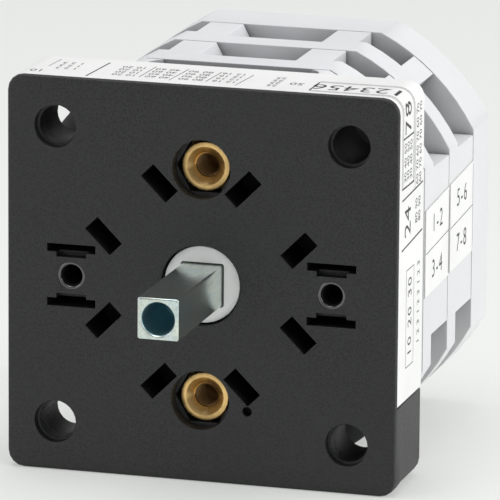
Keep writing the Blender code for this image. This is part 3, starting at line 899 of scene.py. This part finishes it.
class ISOLATOR_OT_rating_label(bpy.types.Operator):
    """Lay the rating label round the housing's corner and print plain lines and figures on it"""

    bl_idname = "isolator.rating_label"
    bl_label = "Rating label"

    def execute(self, context):
        keep_node("rating_label", "label_paper")
        large, small = sizes().large_figure, sizes().small_figure
        fine = sizes().fine_line
        box_start, box_end = 12.5 * MM, down_side(12.86 * MM)
        marks = []

        def line(start, end, width=sizes().line_width):
            marks.append(flat_line((start, end), width))

        def at(x, y):
            return (x * MM, y * MM)

        line(at(-14.7, 1.6), at(-14.2, 9.6))
        line(at(-20.6, 5.6), at(-20.3, 9.6), fine)
        marks.append(figures("10", -21.2 * MM, 3.0 * MM, small * 1.3, math.pi))
        line(at(-8.58, 3.0), at(-8.3, 9.1), fine)
        line(at(-4.7, 2.3), at(-4.25, 8.96), fine)
        line(at(-0.39, 2.9), at(-0.05, 8.55), fine)
        line(at(3.5, 1.9), at(4.0, 8.1), fine)
        for row in range(4):
            across = (3.6 + 1.45 * row) * MM
            for column, text in enumerate(("10 20", "40 60", "80 90", "12 16")):
                x = (-10.6 + 4.1 * column) * MM
                marks.append(figures(text, x, across, small, math.pi))
            if row > 0:
                marks.append(figures("1 2 3", -18.2 * MM, across, small, math.pi))
        for row in range(4):
            marks.append(figures("25", 7.6 * MM, (3.3 + 1.4 * row) * MM, small, math.pi))
        marks.append(figures("50", 10.2 * MM, 5.0 * MM, small * 1.3, math.pi))
        for across in (1.75 * MM, 2.15 * MM, 6.75 * MM, 7.15 * MM):
            line((box_start, across), (box_end, across), fine)
        line((box_start, 2.15 * MM), (box_start, 6.75 * MM))
        line((down_side(18.76 * MM), 2.15 * MM), (down_side(18.76 * MM), 6.75 * MM))
        line((box_end, 1.75 * MM), (box_end, 7.15 * MM))
        marks.append(figures("123456", 17.9 * MM, 4.45 * MM, large, math.pi, 1.0))
        marks.append(figures("78", down_side(21.0 * MM), 4.45 * MM, large, math.pi, 1.1))
        for row in range(3):
            marks.append(figures("30 40 50", down_side(15.8 * MM), (3.2 + 1.25 * row) * MM, small, math.pi))
        line((down_side(11.45 * MM), 1.9 * MM), (down_side(11.95 * MM), 11.2 * MM))
        line((down_side(5.45 * MM), 1.9 * MM), (down_side(6.15 * MM), 11.2 * MM))
        line((down_side(21.5 * MM), 7.6 * MM), (down_side(11.9 * MM), 7.6 * MM), fine)
        for row in range(2):
            for column in range(3):
                marks.append(figures("60 70", down_side((20.4 - 3.4 * column) * MM),
                                     (8.6 + 1.35 * row) * MM, small, math.pi))
        marks.append(figures("24", down_side(8.5 * MM), 4.6 * MM, large, math.pi))
        for row in range(2):
            marks.append(figures("80 90", down_side(9.0 * MM), (8.4 + 1.35 * row) * MM, small, math.pi))
        frame_low, frame_high = down_side(2.6 * MM), down_side(-9.2 * MM)
        for across in (4.2 * MM, 7.6 * MM):
            line((frame_low, across), (frame_high, across), fine)
        for along in (frame_low, frame_high):
            line((along, 4.2 * MM), (along, 7.6 * MM), fine)
        marks.append(figures("10 20 30", (frame_low + frame_high) / 2, 5.9 * MM, small * 1.7, math.pi, 1.2))
        for column in range(3):
            marks.append(figures("1 2 3", down_side((1.2 - 3.6 * column) * MM), 9.7 * MM, small * 1.1,
                                 math.pi))
        label_print = printed("rating_print", marks)
        wrap_on_label(label_print, sizes().ink_thickness)
        return {"FINISHED"}


class ISOLATOR_OT_side_labels(bpy.types.Operator):
    """Print a terminal number in each half of the two side labels"""

    bl_idname = "isolator.side_labels"
    bl_label = "Side labels"

    def execute(self, context):
        numbers = iter(("1-2", "3-4", "5-6", "7-8"))
        for deck in DECKS:
            node = f"side_label_{deck}"
            keep_node(node, "label_paper")
            low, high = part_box(node)
            middle = (low.z + high.z) / 2
            depth = (low.y + high.y) / 2
            fine = sizes().fine_line
            tilt = 0.35 * MM
            marks = [flat_line(((low.y + fine, middle - tilt), (high.y - fine, middle + tilt)), fine),
                     flat_line(((high.y - fine, low.z + 0.7 * MM), (high.y - fine, high.z - 0.3 * MM)), fine)]
            for level in (middle + 2.7 * MM, middle - 2.9 * MM):
                marks.append(figures(next(numbers), depth, level, sizes().side_figure, 0.0, 1.25))
            label_print = printed(f"side_print_{deck}", marks)
            face = high.x + sizes().ink_thickness
            for vertex in label_print.data.vertices:
                vertex.co = (face, vertex.co.x, vertex.co.y)
            label_print.data.update()
        return {"FINISHED"}


class ISOLATOR_OT_stage(bpy.types.Operator):
    """Set the switch on a pale floor in soft light, with the camera to its right"""

    bl_idname = "isolator.stage"
    bl_label = "Stage"

    def execute(self, context):
        take()
        bpy.ops.mesh.primitive_plane_add(size=6.0, location=(0.0, 0.0, 0.0))
        floor = name_active("floor")
        dress(floor, stage_floor())
        self.add_light("key", (-0.05, -0.03, 0.60), 0.40, studio().key_power)
        self.add_light("side", (-0.45, -0.40, 0.22), 0.25, studio().side_power)
        self.add_light("fill", (0.52, 0.03, 0.22), 0.30, studio().fill_power)
        self.set_surround(context.scene)
        self.place_camera(context.scene)
        return {"FINISHED"}

    def add_light(self, name, spot, side, power):
        light = bpy.data.lights.new(name, "AREA")
        light.shape = "SQUARE"
        light.size = side
        light.energy = power
        lamp = bpy.data.objects.new(name, light)
        lamp.location = spot
        lamp.rotation_euler = (AXIS - Vector(spot)).to_track_quat("-Z", "Y").to_euler()
        bpy.context.scene.collection.objects.link(lamp)

    def set_surround(self, scene):
        """A pale surround, a little darker behind the camera."""
        scene.view_settings.view_transform = "Standard"
        world = bpy.data.worlds.new("surround")
        world.use_nodes = True
        sky = Mixer(world.node_tree)
        direction = sky.node("ShaderNodeTexCoord", output="Generated")
        ahead = sky.node("ShaderNodeSeparateXYZ", None, {"Vector": direction}, "Y")
        spread = sky.node("ShaderNodeMapRange", None, {"Value": ahead, "From Min": -0.9, "From Max": 0.1})
        fade = sky.node("ShaderNodeValToRGB",
                        {"stops": ((0.0, (0.62, 0.625, 0.63)), (1.0, (0.99, 0.995, 1.0)))},
                        {"Fac": spread}, "Color")
        background = sky.tree.nodes["Background"]
        sky.feed(background.inputs["Color"], fade)
        sky.feed(background.inputs["Strength"], studio().surround)
        scene.world = world

    def place_camera(self, scene):
        view = studio()
        azimuth, elevation = view.azimuth, view.elevation
        back = Vector((math.sin(azimuth) * math.cos(elevation),
                       -math.cos(azimuth) * math.cos(elevation),
                       math.sin(elevation)))
        level = Vector((math.cos(azimuth), math.sin(azimuth), 0.0))
        upright = back.cross(level)
        right = math.cos(view.roll) * level + math.sin(view.roll) * upright
        up = back.cross(right)
        data = bpy.data.cameras.new("camera")
        data.sensor_width = 36.0
        data.lens = view.focal_length
        data.clip_start = 0.05
        data.clip_end = 50.0
        camera = bpy.data.objects.new("camera", data)
        plate_middle = Vector((0.0, FRONT, AXIS.z))
        spot = plate_middle + view.pan * right + view.lift * up + view.distance * back
        turn = Matrix((right, up, back)).transposed().to_4x4()
        camera.matrix_world = Matrix.Translation(spot) @ turn
        scene.collection.objects.link(camera)
        scene.camera = camera


class ISOLATOR_PT_panel(bpy.types.Panel):
    """Lists the switch's pieces and their sizes"""

    bl_idname = "ISOLATOR_PT_panel"
    bl_label = "Isolator"
    bl_space_type = "VIEW_3D"
    bl_region_type = "UI"
    bl_category = "Isolator"

    def draw(self, context):
        layout = self.layout
        for operator in OPERATORS:
            layout.operator(operator.bl_idname)
        for group in (context.scene.isolator_sizes, context.scene.isolator_colours,
                      context.scene.isolator_studio):
            box = layout.box()
            for name in group.__annotations__:
                box.prop(group, name)


OPERATORS = (
    ISOLATOR_OT_mouldings,
    ISOLATOR_OT_boss_lips,
    ISOLATOR_OT_rotor,
    ISOLATOR_OT_panel_nuts,
    ISOLATOR_OT_screws,
    ISOLATOR_OT_moving_contacts,
    ISOLATOR_OT_rating_label,
    ISOLATOR_OT_side_labels,
    ISOLATOR_OT_stage,
)
CLASSES = (IsolatorSizes, IsolatorColours, IsolatorStudio, *OPERATORS, ISOLATOR_PT_panel)


def register():
    for item in CLASSES:
        bpy.utils.register_class(item)
    bpy.types.Scene.isolator_sizes = bpy.props.PointerProperty(type=IsolatorSizes)
    bpy.types.Scene.isolator_colours = bpy.props.PointerProperty(type=IsolatorColours)
    bpy.types.Scene.isolator_studio = bpy.props.PointerProperty(type=IsolatorStudio)


def unregister():
    del bpy.types.Scene.isolator_studio
    del bpy.types.Scene.isolator_colours
    del bpy.types.Scene.isolator_sizes
    for item in reversed(CLASSES):
        bpy.utils.unregister_class(item)


def main():
    register()
    bpy.ops.isolator.mouldings()
    bpy.ops.isolator.boss_lips()
    bpy.ops.isolator.rotor()
    bpy.ops.isolator.panel_nuts()
    bpy.ops.isolator.screws()
    bpy.ops.isolator.moving_contacts()
    bpy.ops.isolator.rating_label()
    bpy.ops.isolator.side_labels()
    bpy.ops.isolator.stage()


if __name__ == "__main__":
    main()
